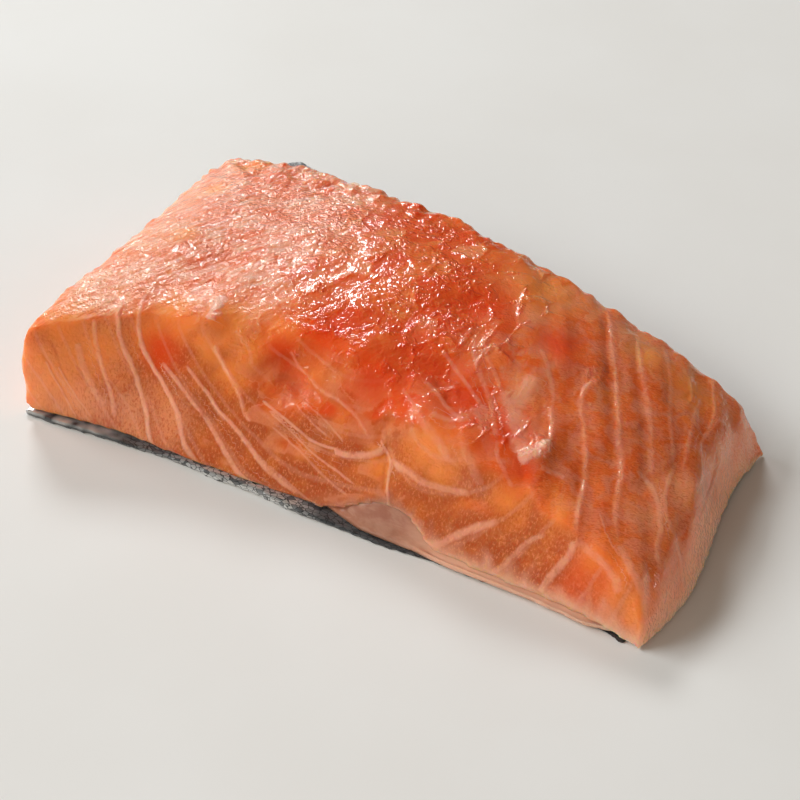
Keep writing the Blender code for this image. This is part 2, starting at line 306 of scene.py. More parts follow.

# %% [markdown]
# ## The flesh: seams, folds and slits
#
# The knife and the fingers that lifted the portion opened some seams and closed others, so no
# formula gives them. They are laid on the surface one by one, as a fishmonger would point them out:
# each one is a curve through a few places, with its half width in millimetres and its strength.
# Seams are pale ribbons that lie flush. Folds stand up and catch the light. Slits are sunk, and
# their darker colour is painted shade.

# %% The flesh: seams, folds and slits
SEAMS = (
    (0.50, 0.65, ((-60.4, -30.2, 23.6), (-59.3, -31.8, 20.6), (-57.4, -33.5, 17.1),
        (-55.6, -34.7, 14), (-53.9, -35.4, 10.8), (-52.6, -36.2, 8), (-52.2, -37, 6))),
    (0.50, 0.95, ((-57.5, -23.8, 25.4), (-56, -27.6, 24.4), (-54.8, -29.2, 21.4),
        (-53.3, -30.3, 19.2), (-50.8, -31.3, 16.2), (-48.5, -32.4, 13.1), (-46.6, -33.8, 9.8),
        (-44.7, -34.9, 7.5), (-43.1, -36.4, 4.8), (-41.4, -36.7, 3.7))),
    (0.48, 1, ((-53.8, -20.2, 26), (-52.6, -23.7, 25.7), (-51.5, -26.3, 23.8), (-50.3, -28, 20.6),
        (-48.2, -29.2, 17.9), (-45.4, -30.3, 15.5), (-43, -31, 13.7), (-39.8, -32.5, 11),
        (-37.1, -33.8, 8.7), (-34.4, -35.2, 5.3), (-29.1, -36, 3.7))),
    (0.42, 0.8, ((-44.4, -28.9, 17.3), (-41.4, -29.6, 15.5), (-37.8, -30.7, 13.4),
        (-33.7, -31.8, 10.8), (-29.8, -32.5, 8.6), (-25.6, -33.8, 6.8), (-21.4, -35, 5.1),
        (-16.7, -35.8, 3.7), (-12.3, -35.9, 3.8))),
    (0.38, 0.8, ((-38.9, -27.8, 17.9), (-35.5, -28.9, 15.7), (-31.8, -29.8, 13.5),
        (-28.6, -31, 11.2), (-25.1, -31.8, 10), (-21.1, -32.8, 8.6), (-16.5, -34, 7),
        (-10.4, -35.2, 5.6), (-5.2, -35.8, 4.5))),
    (0.69, 0.45, ((-62.2, -34.2, 19.2), (-61.2, -35.2, 16.7), (-59.3, -36.2, 13.6),
        (-56.6, -37, 9.7), (-54.6, -37.2, 7.4))),
    (0.22, 0.45, ((-67.9, -38.8, 15.3), (-66, -39.2, 12), (-63.7, -39.4, 8.6),
        (-60.9, -39.2, 4.6))),
    (0.22, 0.45, ((-65.2, -38.1, 14.3), (-63.2, -38.4, 11.4), (-60.6, -38.6, 8.2),
        (-57, -38.5, 5.1))),
    (0.30, 0.75, ((-20.1, -27.6, 15.5), (-16.2, -28.5, 14.5), (-11.7, -29.3, 13.7),
        (-7.8, -30.3, 12.5), (-3.7, -30.7, 12.1), (0, -30.5, 12.7))),
    (0.22, 0.6, ((-18, -28.6, 14.4), (-13.5, -29.6, 13.1), (-9, -30.8, 11.6), (-5.5, -31.8, 10.5),
        (-1.8, -32.5, 9.7), (1.9, -33, 9.2), (6, -33.5, 8.6))),
    (0.22, 0.45, ((-16.1, -30.4, 12.1), (-11.6, -31.3, 10.9), (-7.1, -32.4, 9.8),
        (-3.2, -33.4, 8.4), (1, -34, 7.4), (5.1, -34.5, 6.8))),
    (0.22, 0.45, ((-21.1, -32.8, 8.6), (-15.5, -34, 7.1), (-10, -34.9, 6.1), (-4.7, -35.8, 4.6),
        (-0.5, -36.3, 4.1))),
    (0.22, 0.4, ((-12.4, -26.5, 16.7), (-8, -28.2, 15.5), (-4.6, -29.1, 14.3),
        (-1.4, -29.6, 13.9))),
    (0.22, 0.5, ((-11, -25.7, 17.3), (-5.7, -27.3, 16.8), (-2.1, -28.5, 15.4), (0.9, -29.6, 14.3))),
    (0.65, 0.85, ((-0.9, -30.7, 12.2), (2.1, -30.9, 12.3), (5.2, -30.6, 13.1), (8.2, -29.9, 14.4),
        (9.9, -28.8, 15.4))),
    (0.32, 0.85, ((8.5, -27.6, 17), (10.2, -28.7, 15.4), (12.1, -29.9, 14.4), (12.4, -31.3, 11.9),
        (13.3, -32.8, 10.3), (14.8, -34.3, 8.3), (15.9, -34.4, 8.2))),
    (0.69, 0.7, ((11.9, -29.9, 14.3), (14.4, -30.3, 14.1), (17.5, -31, 13.9), (20.5, -31.4, 13.3),
        (24, -31.2, 13.2), (27.4, -30.8, 13.5), (30.8, -30.4, 14.2))),
    (0.56, 0.8, ((23.8, -35.5, 6.2), (26.8, -35.2, 6.6), (30.3, -34.3, 8.3), (34.4, -33.7, 10.2),
        (38.3, -32.8, 12))),
    (0.43, 0.55, ((38.6, -36.3, 5), (41, -35.6, 6.7), (43.6, -34.4, 9.4), (45.7, -33.7, 11.3),
        (48.2, -32.8, 13.1))),
    (0.65, 0.8, ((50, -36.6, 5.7), (51.4, -35.7, 8.3), (53.5, -34.7, 10.5), (54.4, -33.6, 12.4),
        (53.9, -32.8, 14.1))),
    (0.48, 0.41, ((12, -16.2, 25.5), (14.2, -16.8, 24.9), (16.8, -18.3, 24.5), (19.6, -20, 23.9),
        (22.1, -20.8, 23.4), (24.5, -21.2, 23.7))),
    (0.41, 0.41, ((11.4, -7.9, 27.4), (13.9, -8.8, 26.3), (17.6, -11.3, 25.3), (20.9, -13.1, 24.8),
        (23.6, -14.8, 23.9), (26.3, -16.4, 23), (29, -19.9, 23))),
    (0.55, 0.37, ((15.6, -1, 27.9), (16.9, -4.3, 27.5), (18.8, -6.6, 26.7), (21.4, -9.3, 25.4),
        (23.7, -11.5, 24.2), (26.5, -14.2, 23.3), (29.6, -19.3, 23.1), (31.8, -22.2, 22.3))),
    (0.41, 0.34, ((31.8, -22.2, 22.3), (33.4, -25.3, 21), (36, -27.2, 20), (38.7, -28.9, 17.8))),
    (0.41, 0.34, ((18.9, -3.3, 27.1), (21.9, -5.9, 26.4), (24.8, -8.4, 25.1), (27.7, -11.2, 24),
        (30.4, -14.3, 23.1), (33.2, -18.1, 22.4))),
    (1.62, 0.68, ((27.5, -9.7, 24.5), (29.9, -12.1, 23.2), (32.9, -16.1, 22.4), (35.6, -20, 21.7),
        (37.3, -22.5, 21.1))),
    (1.40, 0.68, ((30.7, -3.5, 25.3), (30.7, -6.7, 24.7), (30.6, -9.5, 23.5), (31.4, -12.2, 22.6))),
    (0.48, 0.34, ((28.2, 4.4, 26), (30.3, 2.3, 25.6), (32.5, -0.7, 24.8), (34.6, -3.4, 23.9),
        (36.4, -6.5, 22.6), (38, -10.6, 22.1))),
    (0.82, 0.41, ((12.5, -22.8, 23.3), (15.7, -24.5, 22.9), (19.2, -25.9, 21.8),
        (22.3, -27.3, 20.5), (24.8, -28.5, 18.3))),
    (0.55, 0.41, ((17.1, -23, 24), (20.7, -22.8, 23.3), (23.3, -21.8, 23.6), (24.8, -20.4, 23.7))),
    (0.82, 0.31, ((25.9, -25.5, 22.2), (28, -27.2, 20.5), (30.2, -28.7, 18.6),
        (32.6, -29.9, 16.4))),
    (0.33, 0.37, ((8.9, -19.7, 24.6), (11.7, -21.5, 23.9), (15, -23.2, 23.8))),
    (0.92, 0.34, ((23.9, -17, 23.5), (26.8, -19, 23), (28.6, -21.7, 22.6))),
    (0.54, 0.5, ((41.9, -23.4, 20.6), (44.3, -22.4, 19.2), (47, -22.1, 19))),
    (0.54, 0.5, ((57.3, -11.4, 17.2), (60, -11.3, 15.1), (62.9, -13.9, 14.7), (65.2, -17.1, 14.1),
        (67.2, -20.6, 13), (67.9, -24.9, 12.1), (70.5, -28.8, 10.7))),
    (0.43, 0.45, ((62.2, -2.5, 14.6), (63.4, -8.3, 14.8), (64.6, -14, 14.5), (67.2, -17.7, 13.3),
        (70, -20, 11.1), (72.8, -22, 8.8), (74.9, -24.3, 6.4))),
    (0.76, 0.55, ((61.9, -29.6, 13.9), (64.5, -31.5, 13.3), (67.3, -34, 12.6), (69.8, -35, 10.4),
        (71.4, -36, 8.4), (72.1, -38.6, 7.3), (71.1, -39.7, 5.1))),
    (0.76, 0.5, ((54.1, -32.7, 14.2), (56.7, -32.9, 13.5), (60.2, -34, 12.9), (63.7, -35.1, 11.5),
        (66.1, -36.3, 9.7))),
    (0.26, 0.4, ((56, -25.4, 16.5), (57.8, -27.5, 15.9), (60.4, -30.2, 15.1), (63.3, -31.8, 13.5))),
)

FOLDS = (
    (0.56, 0.8, ((41.8, 5.4, 22.5), (40.4, 2.5, 22.8), (40.3, -1.2, 22.5), (41.8, -5.2, 21.8),
        (44.6, -9, 20.5), (47.2, -13.4, 19.6), (49.1, -17.4, 18.2), (50.5, -21.1, 17),
        (51.8, -25.7, 17), (53.3, -30.1, 16.4), (53.9, -32.8, 14.1))),
    (0.56, 0.75, ((31.9, 28.9, 22.5), (35.7, 22.4, 22.7), (38.8, 16.7, 22.6), (41.6, 11.7, 21.8),
        (44.4, 6.8, 20.9), (47.2, 1.6, 20.5), (49.8, -3.6, 20), (51.3, -7.2, 19.3),
        (53.3, -9.9, 18), (55.1, -13.4, 17.2), (56.4, -17.9, 16.5), (58, -22.2, 15.9),
        (59.7, -26, 15), (62, -29.4, 13.8))),
    (0.56, 0.6, ((40.6, 25.5, 20.3), (45.2, 17.1, 20.8), (48.2, 12.4, 19.9), (51.1, 7.6, 19.1),
        (54, 2.7, 18.5), (56.4, -1.7, 17.4), (58.4, -6.4, 16.5), (60.1, -10.2, 15.3))),
    (0.48, 0.5, ((46.8, 26.5, 18.8), (50.8, 19.8, 18.5), (53.5, 14.8, 17.6), (55.9, 8.7, 17.6),
        (58.3, 3.6, 17), (60.5, -0.1, 15.8), (62, -3.9, 15.1))),
    (0.43, 0.6, ((58.8, 18.3, 14.9), (59.9, 13.5, 15.2), (61.1, 9.4, 15.5), (62.1, 4.9, 15.5),
        (63.4, 0.5, 14.8), (64.1, -3.6, 14.1))),
    (0.35, 0.6, ((58.1, 26.7, 14.4), (60.6, 21.8, 14), (62.9, 17.1, 13.9), (63.7, 12.6, 13.7),
        (64, 8.8, 13.6), (64.3, 4.7, 14.1), (65.9, 2.7, 12.8))),
    (0.30, 0.6, ((64.1, 16.7, 13.1), (64.2, 12.5, 13.4), (63.9, 8.4, 13.7))),
    (0.30, 0.5, ((54.7, 22.1, 16.8), (56.8, 18.4, 16.5), (58.2, 15.2, 16.1))),
    (0.48, 0.95, ((67.4, 11, 10), (68.1, 6.1, 9.6), (69.3, 1.6, 9.2), (70.3, -3.4, 9.7),
        (71, -7.5, 10.1), (71.3, -10.3, 10.3))),
    (0.35, 0.7, ((73.3, -15.6, 8), (74.2, -18.4, 7), (74.9, -21, 6.3), (75, -23.5, 6.2))),
    (0.35, 0.7, ((70.2, -10.4, 11.5), (70.8, -13.7, 11.2), (71.3, -15.9, 10.6))),
    (0.43, 0.9, ((-33.8, -23.9, 22.5), (-32.2, -24.9, 20.6), (-29.9, -26, 18.8),
        (-27.4, -26.9, 16.9), (-24.8, -28.4, 15.2), (-23.5, -29.9, 13), (-20.6, -31, 11.6))),
    (0.50, 0.9, ((36.5, -8.6, 22.6), (38.4, -11, 22), (39.9, -13.7, 21.7), (40.9, -17.5, 22.3))),
    (0.43, 0.8, ((-31.1, -30.2, 12.9), (-28.5, -31.2, 10.9), (-26.6, -31.5, 10.3))),
    (0.30, 0.6, ((-18, -19.5, 24), (-15.2, -20.2, 21.5), (-11.5, -21.8, 20.2),
        (-8.6, -23.2, 19.6))),
    (0.30, 0.55, ((-30.9, -20.5, 25), (-28.4, -21.3, 23.9), (-26.2, -22.1, 22.6),
        (-24.5, -24, 20.5))),
    (0.30, 0.55, ((-8.6, -23.2, 19.6), (-3.1, -24.3, 20), (2.8, -26.3, 18.5), (6, -28, 16.5))),
)

SLITS = (
    (0.26, 0.6, ((-70.3, -38, 20.1), (-68.6, -38.4, 16.9), (-66.8, -38.9, 13.6),
        (-64.5, -39.1, 10.3), (-62.7, -39.2, 7.5))),
    (0.28, 0.7, ((-67.7, -36.6, 19.8), (-65.8, -37.3, 16.4), (-64.5, -38, 13.9),
        (-62.7, -38.4, 11.1))),
    (0.32, 0.8, ((-61.6, -36.3, 15), (-59.7, -36.9, 12.6), (-58.1, -37.2, 10.4))),
    (0.39, 0.8, ((-57.7, -34, 16.5), (-56, -35, 13.5), (-54.4, -35.8, 10.6), (-53.2, -36.5, 8))),
    (0.26, 0.5, ((-56.9, -23.6, 25.5), (-53.7, -27.2, 23.7), (-52.3, -28.8, 20.5))),
    (0.30, 0.7, ((10.1, -27.7, 17.2), (10.7, -29.1, 14.6), (11.2, -31.2, 12.4), (12.2, -33, 9.9))),
    (0.56, 0.9, ((13.8, -14.5, 25), (16.6, -17.1, 24.3), (20.2, -19.5, 23.8))),
    (0.56, 0.8, ((27.7, -14.7, 23.4), (31, -18.2, 23.2), (34, -21, 22.3), (37.1, -23.4, 20.7),
        (40.1, -26.6, 19.2))),
    (0.65, 0.7, ((33.4, -6.5, 24), (35.3, -9.9, 23), (37.2, -13.6, 22.4), (37.3, -16.9, 22.1))),
    (0.86, 0.6, ((25.2, 22.5, 25.7), (32.1, 11.1, 25.1), (36.5, 0.1, 23.8), (39.7, -7.3, 22.5),
        (42.8, -13.7, 20.6), (46.9, -20.1, 19.3))),
    (0.65, 0.6, ((34.1, 22.7, 23.5), (37.6, 15.4, 23), (41.2, 8.7, 22.3), (44.5, 2.4, 21.4),
        (47.9, -3.9, 20.8), (50.4, -9.6, 19.4))),
    (0.65, 0.5, ((42.8, 19.3, 21), (47.1, 10.9, 20.5), (51.3, 3.6, 19.3), (55, -3.5, 18.1))),
    (0.56, 0.6, ((59.2, 8.5, 16.4), (60.5, 3.5, 15.9), (61.8, -1.1, 15))),
    (0.48, 0.7, ((57.1, 14.5, 16.6), (56.5, 17.9, 16.7), (58.5, 17.9, 15.3))),
    (1.0, 1.0, ((-21.4, -27, 16.7), (-22.5, -25.1, 18.7), (-22.2, -23.2, 20.6),
        (-20.4, -21.2, 22.1), (-17.7, -20, 22.9), (-14.9, -19.9, 22.3))),
    (0.43, 0.5, ((46.6, -17.4, 19.7), (49.2, -20.6, 18.1), (50.8, -25.9, 17.7))),
    (0.35, 0.8, ((38.5, -23.6, 20.4), (38.5, -25.3, 19.6), (39.8, -26.9, 18.9))),
)

FLAPS = (
    (1.4, 1, ((40.9, -16.8, 22.1), (40.6, -18.4, 22.5), (40, -20.6, 22.2), (38.6, -22.6, 21.2),
        (37.2, -23.6, 20.4))),
    (1.1, 1.0, ((-37.7, -14.5, 27.6), (-37, -17.5, 27.7), (-36.2, -20.3, 27.1),
        (-36, -21.4, 25.9))),
)
for name, curves in (("seams", SEAMS), ("folds", FOLDS), ("slits", SLITS), ("flaps", FLAPS)):
    print(len(curves), name)


# %% Laying a curve on the surface
def rounded(curve, rounds=2):
    """The same curve with its corners cut off."""
    line = np.array(curve, float)
    for _ in range(rounds):
        first, last = line[:1], line[-1:]
        before, after = line[:-1], line[1:]
        line = np.concatenate([before * 0.75 + after * 0.25, before * 0.25 + after * 0.75], 1)
        line = np.concatenate([first, line.reshape(-1, 3), last])
    return line


def beside(curve, points, normals, reach):
    """Which points lie within reach of a curve, how far beside it and how far along it (0 to 1)."""
    line = rounded(curve)
    near = np.flatnonzero(
        ((points > line.min(axis=0) - reach) & (points < line.max(axis=0) + reach)).all(axis=1)
    )
    p, n = points[near], normals[near]
    best = np.full(len(near), 1e9)
    lateral, along = np.zeros(len(near)), np.zeros(len(near))
    for number in range(len(line) - 1):
        start, step = line[number], line[number + 1] - line[number]
        t = np.clip((p - start) @ step / (step @ step), 0, 1)
        off = p - start - t[:, None] * step
        distance = np.linalg.norm(off, axis=1)
        side = np.sign((np.cross(step, n) * off).sum(axis=1))
        closer = distance < best
        lateral = np.where(closer, side * distance, lateral)
        along = np.where(closer, (number + t) / (len(line) - 1), along)
        best = np.where(closer, distance, best)
    return near, lateral, along


def lay(curves, points, normals, reach=4.0):
    """For each point the distance to the strongest curve in half widths, that curve's strength, and
    two heights: a crest along each curve, and a step that is high on one side of it."""
    count = len(points)
    distance, strength, drawn = np.full(count, 9.0), np.zeros(count), np.zeros(count)
    crest, step = np.zeros(count), np.zeros(count)
    for half_width, power, curve in curves:
        near, lateral, along = beside(curve, points, normals, reach)
        ends = smooth_step(along, 0, 0.1) * (1 - smooth_step(along, 0.86, 1))
        value = lateral / (half_width * (0.5 + 0.5 * ends))
        near_share = 1 - smooth_step(np.abs(lateral), 0.8 + half_width, 1.8 + half_width)
        here = power * ends * near_share
        mark = here * np.exp(-np.minimum(np.abs(value), 20.0))
        better = mark > drawn[near]
        chosen = near[better]
        distance[chosen], strength[chosen] = value[better], here[better]
        drawn[chosen] = mark[better]
        crest[near] += power * ends * bell(lateral, 1.3 * half_width)
        step[near] += power * ends * -np.tanh(lateral / 0.5) * np.exp(-np.abs(lateral) / 2.6)
    return distance, strength, crest, step


def spots(marks, points):
    """How strongly soft round spots (x, y, z, radius) mark each point, from 0 to 1."""
    result = np.zeros(len(points))
    for spot_x, spot_y, spot_z, radius in marks:
        away = np.sqrt(((points - (spot_x, spot_y, spot_z)) ** 2).sum(axis=1))
        result = np.maximum(result, bell(away, radius))
    return result


# %% [markdown]
# ## The flesh: where the seams of the hidden sides run
#
# The far cut can't be seen in the photograph, so there the seams follow a rule. Each set of seams
# has a phase, a number that is whole on every seam. The back muscle's seams are circles round a
# centre high above the cut, and the belly muscle's are circles round a centre just over it. On the
# near cut the same rule gives faint threads between the ribbons.

# %% The flesh: where the seams of the hidden sides run
BACK_CENTRE = (-4.0, 60.0)
BACK_PITCH = 4.1
BACK_PHASE = 0.15
BELLY_CENTRE = (22.0, 30.0)
BELLY_PITCH = 6.3
BELLY_PHASE = 0.17
SEPTUM_FOOT = (13.5, 11.0)
SEPTUM_LEAN = -0.6
NEAR_THREADS = 0.22

points, normals = places(flesh), directions(flesh)
x, y, z = points.T
back_phase = np.hypot(x - BACK_CENTRE[0], z - BACK_CENTRE[1]) / BACK_PITCH + BACK_PHASE
belly_phase = np.hypot(x - BELLY_CENTRE[0], z - BELLY_CENTRE[1]) / BELLY_PITCH + BELLY_PHASE
upward = smooth_step(normals[:, 2], 0.5, 0.85)
endward = smooth_step(np.abs(normals[:, 0]), 0.55, 0.85) * smooth_step(np.abs(x), 60, 68)
septum_x = SEPTUM_FOOT[0] + SEPTUM_LEAN * (z - SEPTUM_FOOT[1])
belly_share = smooth_step(x - septum_x, -1.2, 1.2)
cutward = (1 - upward) * (1 - endward)
far_side = smooth_step(y, -5, 5)
threads = NEAR_THREADS + (1 - NEAR_THREADS) * far_side
back_share = cutward * (1 - belly_share)
belly_cut_share = cutward * belly_share
for name, phase in (("back", back_phase), ("belly", belly_phase)):
    print(name, "seams:", round(float(np.ptp(phase))))

# %% [markdown]
# ## Where the near edge runs
#
# Several steps need the near edge of a CAD node: how far forward it comes, and how low it is, at
# each x.

# %% Where the near edge runs
def rim_line(node, axis, sideways=3.0, depth=4.0):
    """The lowest y (axis 1) or the lowest z near the front (axis 2) of a CAD node, for any x."""
    points = np.array([tuple(v.co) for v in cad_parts[node].data.vertices]) / MM
    columns = np.arange(-74, 75, 2.0)
    edge = []
    for column in columns:
        here = points[np.abs(points[:, 0] - column) < sideways]
        front = here[here[:, 1] < here[:, 1].min() + depth]
        edge.append(front[:, axis].min())
    return lambda x: np.interp(x, columns, edge)


near_edge, lowest = rim_line("flesh", 1), rim_line("flesh", 2)
print("near edge at x = 0: y", round(float(near_edge(0)), 1), "z", round(float(lowest(0)), 1))

# %% [markdown]
# ## The flesh: relief
#
# The middle of the upper face, and a few spots on the near cut, are torn into smooth patches with
# crests between them. The back end of the upper face has fine streaks. Flakes stand like steps
# along the folds: high behind the ribbon and low in front of the next one. A hollow and a few lobes
# show where flakes came apart, and two thin flaps hang loose. Each of these adds its own height
# along the normal. Last, the foot of the near cut is drawn down and out over the fat, whose edge
# shows less on the cut than it does in the CAD model.

# %% The flesh: patches and streaks
PATCH_SIZE = (7.5, 4.8, 6.0)
PATCH_WARP = 1.2
PATCH_TURN = 40.0
CREST_WIDTH = 0.10
STREAK_ANGLE = 56.0
TORN_SPOTS = (
    (-25, -20, 24, 8), (-14, -21, 22, 8), (-34, -19, 26, 6), (24, -21, 23, 8), (33, -19, 22, 6),
    (8, -21, 24, 6),
)

along_streaks = turned(points, STREAK_ANGLE)
warp = PATCH_WARP * clouds(points, 5.0, 41.0)[:, None]
patches, patch_offset, patch_number = cells(along_streaks + warp, PATCH_SIZE, 5.0)
turn = PATCH_TURN * patch_number
patch_tilt = patch_offset[:, 0] * np.cos(turn) + patch_offset[:, 1] * np.sin(turn)
border = bell(patches, CREST_WIDTH) * smooth_step(clouds(points, 6.0, 15.0), -0.15, 0.25)
torn = spots(TORN_SPOTS, points)
middle = smooth_step(x, -40, -22) * (1 - smooth_step(x, 20, 36))
patch_share = np.maximum(middle * upward, torn)
streaks = clouds(along_streaks, (8.0, 1.1, 4.0), 9.0)
streak_share = (1 - smooth_step(x, -38, -12)) * smooth_step(normals[:, 2], 0.74, 0.88)
print("torn into patches:", int((patch_share > 0.5).sum()), "points")

# %% The flesh: relief
FOLD_LIFT = 0.18
FOLD_STEP = 0.14
SEAM_LIFT = 0.12
SLIT_DEPTH = 0.16
FLAP_LIFT = 0.35
FLAP_CRINKLE = 0.9
PATCH_CREST = 0.13
PATCH_TILT = 0.10
STREAK_RISE = 0.16
STREAK_GRAIN = 0.13
CLOUD_RISE = 0.06
CUT_STEP = 0.10
CRAG_RISE = 0.9
NUB_RISE = 0.9
GAPES = (
    (-13.8, -23.2, 21.4, 4.2, 3.0, 1.6),
    (-10.8, -27.5, 18.0, 3.6, 2.2, 0.3),
    (-19.5, -23.0, 23.5, 3.0, 2.6, 0.7),
    (21.0, -26.1, 20.7, 9.0, 3.6, 0.6),
    (-39.0, -21.7, 24.0, 8.0, 3.5, 0.6),
)

seam_side, seam_share, seam_crest, _ = lay(SEAMS, points, normals)
fold_side, fold_share, fold_crest, fold_step = lay(FOLDS, points, normals, 8.0)
slit_side, slit_share, slit_crest, _ = lay(SLITS, points, normals)
flap_side, flap_share, flap_crest, _ = lay(FLAPS, points, normals)

rise = FOLD_LIFT * fold_crest + FOLD_STEP * fold_step + SEAM_LIFT * seam_crest
rise += FLAP_LIFT * flap_crest * (1 + FLAP_CRINKLE * clouds(points, 1.3, 61.0))
rise -= SLIT_DEPTH * slit_crest
rise += patch_share * (PATCH_CREST * border + PATCH_TILT * patch_tilt)
rise += streak_share * STREAK_RISE * streaks
rise += CLOUD_RISE * (upward * clouds(points, 4.0, 2.0) + clouds(points, 1.7, 7.0))
rise += STREAK_GRAIN * streak_share * clouds(along_streaks, (1.9, 1.1, 1.5), 17.0)
for gape_x, gape_y, gape_z, reach_x, reach_across, lift in GAPES:
    across = np.hypot(y - gape_y, z - gape_z)
    rise += lift * bell(x - gape_x, reach_x) * bell(across, reach_across)
rise += CUT_STEP * threads * back_share * np.cos(2 * np.pi * back_phase)
rise += CUT_STEP * threads * belly_cut_share * np.cos(2 * np.pi * belly_phase)
far_edge = smooth_step(y, 22, 34) * smooth_step(z, 6, 10)
rise += CRAG_RISE * far_edge * np.maximum(clouds(points, 2.6, 4.0), -0.4)
left_edge = bell(normals[:, 2] - 0.62, 0.22) * (1 - smooth_step(x, -64, -50))
left_edge *= smooth_step(y, -34, -20)
rise += NUB_RISE * left_edge * np.maximum(clouds(points, 2.4, 14.0), -0.2)
print("flesh relief from", round(float(rise.min()), 2), "to", round(float(rise.max()), 2), "mm")

# %% The flesh: its foot
UNDERSIDE_DROP = 0.35
LOWEST_FLESH = 0.15
FOOT_X = (-75, -58, -50, -40, -34, -20, -8, 0, 8, 20, 26, 48, 60, 66, 71, 76)
FOOT_DROP = (2.0, 2.1, 2.3, 2.5, 2.4, 2.2, 2.1, 2.0, 1.2, 1.2, 3.0, 3.0, 3.2, 3.6, 4.6, 4.8)
FOOT_PUSH = (0, 0, 0.2, 1.4, 1.9, 2.4, 1.3, 1.0, 0.8, 1.2, 2.6, 1.9, 1.2, 1.0, 0.6, 0.3)
FOOT_REACH = 7.0
END_START = (64.0, 72.0)

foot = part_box("flesh")[0].z / MM
above_foot = smooth_step(z, foot + 2.0, foot + 5.0)
moved = points + normals * (rise * above_foot)[:, None]
at_rim = 1 - smooth_step(y - near_edge(x), 1.5, 7.0)
at_rim = np.maximum(at_rim, smooth_step(x, *END_START))
near_foot = at_rim * (1 - smooth_step(z, lowest(x), lowest(x) + FOOT_REACH))
foot_drop = np.interp(x, FOOT_X, FOOT_DROP) * near_foot
downward = smooth_step(-normals[:, 2], 0.05, 0.6)
moved[:, 1] -= np.interp(x, FOOT_X, FOOT_PUSH) * near_foot * (1 - far_side)
moved[:, 2] -= np.maximum(UNDERSIDE_DROP * downward, foot_drop)
moved[:, 2] = np.maximum(moved[:, 2], LOWEST_FLESH)
put_places(flesh, moved)
print("foot drawn down by up to", round(float(foot_drop.max()), 1), "mm")

# %% [markdown]
# ## The flesh: what the material has to know
#
# The material draws ribbons, fibres and colours finer than the mesh. So each point keeps where the
# nearest seam, fold and slit lie, the phases, the colour spots (deep red, golden and pale, some of
# the golden and pale ones painted light and sheen), and how crinkled and wet the surface is. A spot
# is a place and a radius in millimetres.

# %% The flesh: spots of colour and water
DEEP_SPOTS = (
    (11, 8, 28, 9), (12, -13, 26, 8), (3, -19, 25, 7), (32, -19, 23, 7), (20, -15, 24, 7),
    (39, -25, 20, 4), (-19, -20, 23, 4), (-14, -24, 21, 5), (7, -10, 27, 7), (-11, -14, 28, 8),
    (-45, -28, 19, 5), (58, -33, 7, 6), (31, 8, 25, 6),
)
# Golden spots: partly the flesh's own golden facets, partly painted light where the back end, the
# left of the near cut and the hollow near x = -15 take too little light.
GOLD_AND_GLOW_SPOTS = (
    (-46, -22, 26, 6), (-66, -34, 22, 7), (-70, -40, 15, 7), (-21, -17, 27, 4), (-11, -21, 22, 4),
    (60, -34, 13, 5), (64, -36, 10, 5), (50, -30, 17, 4), (38, -30, 16, 4), (23, -30, 16, 4),
    (20, 22, 27, 8), (57, 18, 17, 5), (-33, -19, 27, 6), (70, -37, 9, 4), (10, -31, 13, 3),
    (-63, 35, 26, 4), (-64, 21, 27, 3), (-58, 1, 28, 3), (20, -28, 19, 6), (46, 20, 21, 4),
    (-48, -27, 22, 6), (-58, -33, 17, 6), (-72, -39, 8, 8), (-42, -24, 24, 5), (-31, -21, 25, 5),
    (-26, -22, 22.5, 4), (-66, -40, 12, 8), (-62, -38, 18, 8), (-35, -24, 21, 4), (-29, -26, 18, 4),
)
# Pale spots: membranes, lobes and flaps in their own colour, but the large ones on the back end's
# top are painted sheen, and those low on the left of the near cut are painted light.
PALE_AND_LIT_SPOTS = (
    (-64, -23, 25, 14), (-68, -3, 25, 12), (-70, 16, 24, 8), (-15, -22, 18, 3.5), (23, 12, 27, 4),
    (23, 24, 26, 2.5), (19, -2, 28, 3), (-53, -37, 7, 1.5), (-44, -37, 4, 1.2), (-56, -37, 8, 5),
    (-56, -33, 16, 7), (-66, -38, 14, 8), (-62, -39, 9, 4), (71, 11, 6, 7), (73, -7, 8, 6),
    (75, -18, 5, 4), (70, 24, 7, 4), (-60, -38, 9, 7), (-48, -36, 8, 6), (-39, -34, 9, 5),
    (31, -8, 24, 4), (35, -15, 22, 4), (43, 22, 21, 6), (55, -34, 13, 3), (66, -9, 14, 6),
    (64, -20, 14, 5), (72, -40, 4, 4),
)
WET_SPOTS = (
    (-13, 21, 31, 7), (-2, 1, 30, 7), (-6, 24, 30, 6), (2, 15, 30, 8), (8, -2, 29, 9),
    (-4, -19, 26, 6), (6, -18, 26, 4), (-21, -12, 28, 6), (-28, -9, 29, 6), (-6, -16, 27, 4),
    (7, 11, 30, 6), (41, 6, 23, 4), (-27, 11, 30, 6), (-27, 18, 30, 5), (-35, -11, 28, 8),
    (-39, -22, 26, 6), (-27, -21, 24, 5), (-41, -27, 19, 3), (-20, -24, 19, 3), (-12, -22, 19, 3),
    (39, -19, 22, 3), (-50, 0, 28, 20), (-50, 20, 28, 20), (-60, -20, 26, 10),
)
for marks in (DEEP_SPOTS, GOLD_AND_GLOW_SPOTS, PALE_AND_LIT_SPOTS, WET_SPOTS):
    print(len(marks), "spots")

# %% The flesh: what the material has to know
SPOT_WARP = 1.6
FAR_RIM_LIGHT = 0.9
FATTY_X = (-6, 6, 20, 30, 60, 74)
FATTY_SHARE = (0, 1, 1, 0.9, 0.9, 1)
FATTY_HEIGHT = 3.2

